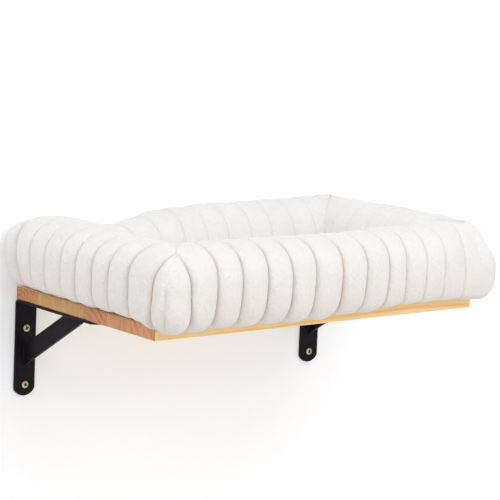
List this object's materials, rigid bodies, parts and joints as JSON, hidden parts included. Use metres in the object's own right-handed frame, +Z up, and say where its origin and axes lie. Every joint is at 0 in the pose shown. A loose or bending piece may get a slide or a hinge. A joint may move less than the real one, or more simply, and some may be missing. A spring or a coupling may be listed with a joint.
{
  "type": "cat wall shelf",
  "caption": "Wall-mounted cat shelf: a pine board on braced steel brackets, carrying a lift-off plush bed with a fat ribbed rim.",
  "frame": {"origin": "centre of the rectangle of the four wall screws, on the wall face", "axes": "+Y into the wall, -Y out to the room, +Z up, +X along the board to the right as seen from the room"},
  "size_m": [0.5362, 0.3831, 0.2414],
  "materials": {
    "pine": "oiled, edges eased",
    "powder_coat": "satin black powder coat",
    "screw_metal": "yellow-passivated steel",
    "grip_tape": "hook and loop tape",
    "base_cloth": "coarse non-slip cloth",
    "plush": "short-pile plush"
  },
  "bodies": {
    "shelf": {"shelf_board": "pine", "wall_screws": "screw_metal", "board_screws": "screw_metal", "hook_pads": "grip_tape", "left_bracket": "powder_coat", "left_brace": "powder_coat", "left_welds": "powder_coat", "right_bracket": "powder_coat", "right_brace": "powder_coat", "right_welds": "powder_coat"},
    "bed": {"loop_pads": "grip_tape", "base_panel": "base_cloth", "seat_pad": "plush", "front_rim": "plush", "right_rim": "plush", "back_rim": "plush", "left_rim": "plush", "front_left_corner": "plush", "front_right_corner": "plush", "back_right_corner": "plush", "back_left_corner": "plush"}
  },
  "joints": [
    {"name": "bed_lift", "type": "slide", "parent": "shelf", "child": "bed", "axis": [0, 0, 1], "range_m": [0, 0.12]}
  ]
}
